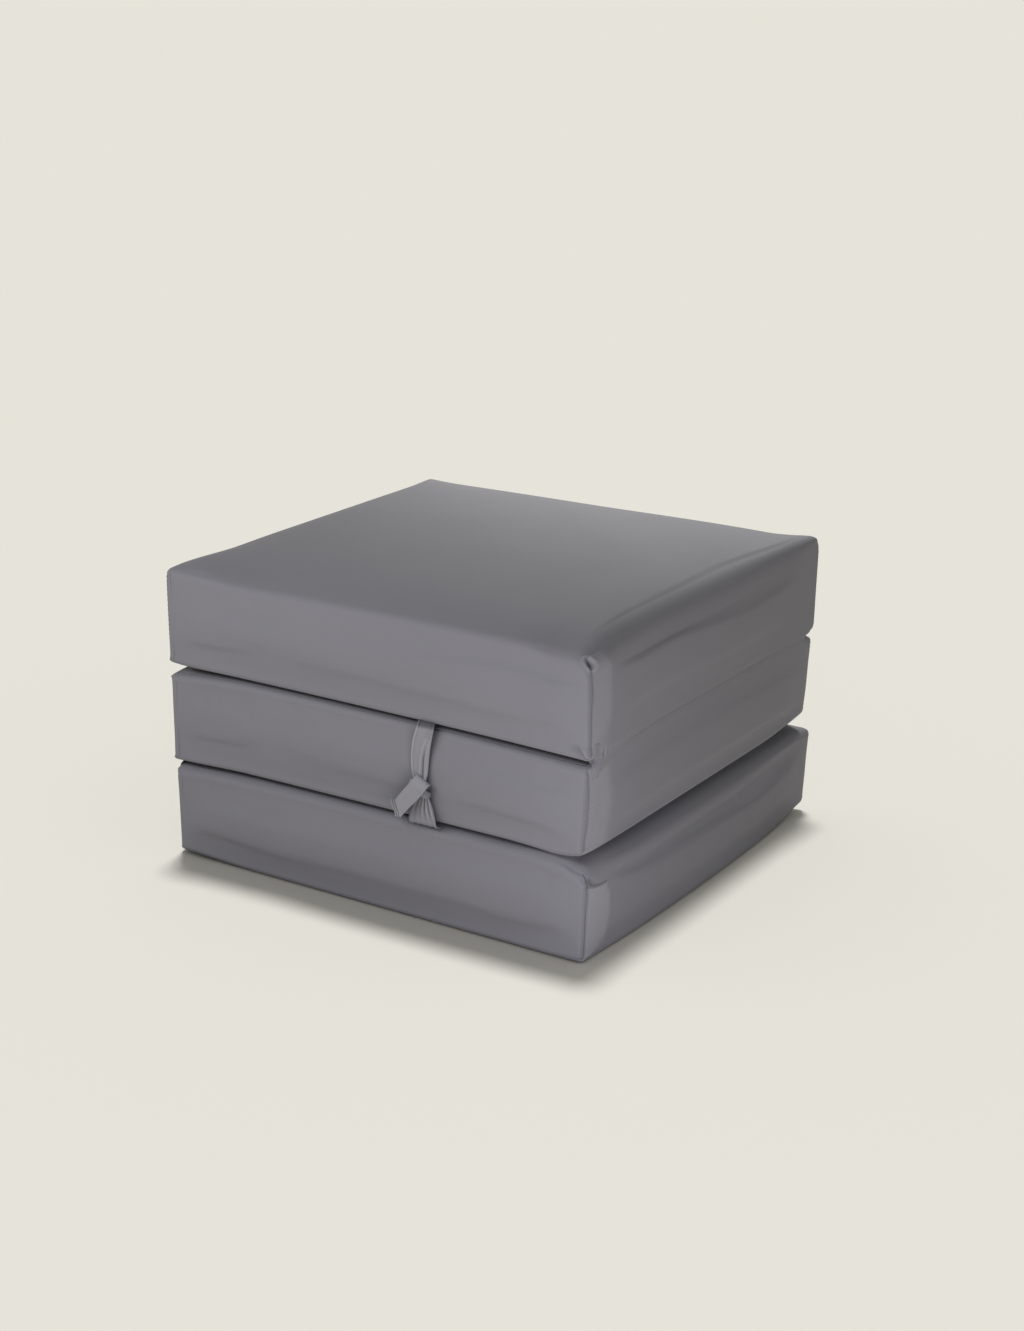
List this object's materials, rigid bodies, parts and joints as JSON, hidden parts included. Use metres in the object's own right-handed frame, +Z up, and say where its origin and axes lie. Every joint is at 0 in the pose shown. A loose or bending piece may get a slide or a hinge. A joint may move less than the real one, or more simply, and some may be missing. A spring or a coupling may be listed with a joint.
{
  "type": "folding foam chair bed",
  "caption": "Z-fold foam mattress folded into a low seat: zipped cloth covers over foam blocks, cloth fold hinges and a knotted pair of ties on the front.",
  "frame": {"origin": "centre of the underside of the bottom block's base panel, on the floor", "axes": "+Z up through the folded pile; X along the way the bed unfolds, with the open fold hinge of the upper pair at +X; the ties are on the front at -Y and the zips on the back at +Y"},
  "size_m": [0.656, 0.6244, 0.4078],
  "materials": {
    "cover_cloth": "smooth fine-woven cloth with a faint satin sheen",
    "base_cloth": "matte woven cloth",
    "tie_cloth": "smooth fine-woven cloth, hemmed",
    "foam": "matte open-cell foam",
    "zip_tape": "matte ribbed tape",
    "zip_metal": "satin nickel"
  },
  "bodies": {
    "bottom_block": {"bottom_foam": "foam", "bottom_hood": "cover_cloth", "bottom_base_panel": "base_cloth", "bottom_zip_hood_tape": "zip_tape", "bottom_zip_base_tape": "zip_tape", "lower_hinge_bottom_leaf": "cover_cloth", "lower_tie_root": "tie_cloth"},
    "middle_block": {"middle_foam": "foam", "middle_hood": "cover_cloth", "middle_base_panel": "base_cloth", "middle_zip_hood_tape": "zip_tape", "middle_zip_base_tape": "zip_tape", "lower_hinge_middle_leaf": "cover_cloth", "upper_hinge_middle_leaf": "cover_cloth"},
    "top_block": {"top_foam": "foam", "top_hood": "cover_cloth", "top_base_panel": "base_cloth", "top_zip_hood_tape": "zip_tape", "top_zip_base_tape": "zip_tape", "upper_hinge_top_leaf": "cover_cloth", "upper_tie_root": "tie_cloth"},
    "upper_tie": {"upper_tie": "tie_cloth"},
    "lower_tie": {"lower_tie": "tie_cloth"},
    "bottom_slider": {"bottom_zip_slider": "zip_metal"},
    "middle_slider": {"middle_zip_slider": "zip_metal"},
    "top_slider": {"top_zip_slider": "zip_metal"},
    "bottom_puller": {"bottom_zip_puller": "zip_metal"},
    "middle_puller": {"middle_zip_puller": "zip_metal"},
    "top_puller": {"top_zip_puller": "zip_metal"}
  },
  "joints": [
    {"name": "lower_fold", "type": "hinge", "parent": "bottom_block", "child": "middle_block", "pos_m": [-0.3284, 0, 0.1333], "axis": [0, -1, 0], "range_deg": [0, 180]},
    {"name": "upper_fold", "type": "hinge", "parent": "middle_block", "child": "top_block", "pos_m": [0.3284, 0, 0.2669], "axis": [0, 1, 0], "range_deg": [0, 180]},
    {"name": "upper_tie_swing", "type": "hinge", "parent": "top_block", "child": "upper_tie", "pos_m": [0.094, -0.3049, 0.2587], "axis": [-1, 0, 0], "range_deg": [0, 95]},
    {"name": "lower_tie_swing", "type": "hinge", "parent": "bottom_block", "child": "lower_tie", "pos_m": [0.0875, -0.3049, 0.1415], "axis": [1, 0, 0], "range_deg": [0, 150]},
    {"name": "bottom_zip_slide", "type": "slide", "parent": "bottom_block", "child": "bottom_slider", "axis": [1, 0, 0], "range_m": [0, 0.523]},
    {"name": "middle_zip_slide", "type": "slide", "parent": "middle_block", "child": "middle_slider", "axis": [-1, 0, 0], "range_m": [0, 0.523]},
    {"name": "top_zip_slide", "type": "slide", "parent": "top_block", "child": "top_slider", "axis": [1, 0, 0], "range_m": [0, 0.523]},
    {"name": "bottom_pull_swing", "type": "hinge", "parent": "bottom_slider", "child": "bottom_puller", "pos_m": [-0.2615, 0.30491, 0.0665], "axis": [0, 0, 1], "range_deg": [0, 180]},
    {"name": "middle_pull_swing", "type": "hinge", "parent": "middle_slider", "child": "middle_puller", "pos_m": [0.2615, 0.30491, 0.2001], "axis": [0, 0, -1], "range_deg": [0, 180]},
    {"name": "top_pull_swing", "type": "hinge", "parent": "top_slider", "child": "top_puller", "pos_m": [-0.2615, 0.3049, 0.3337], "axis": [0, 0, 1], "range_deg": [0, 180]}
  ]
}
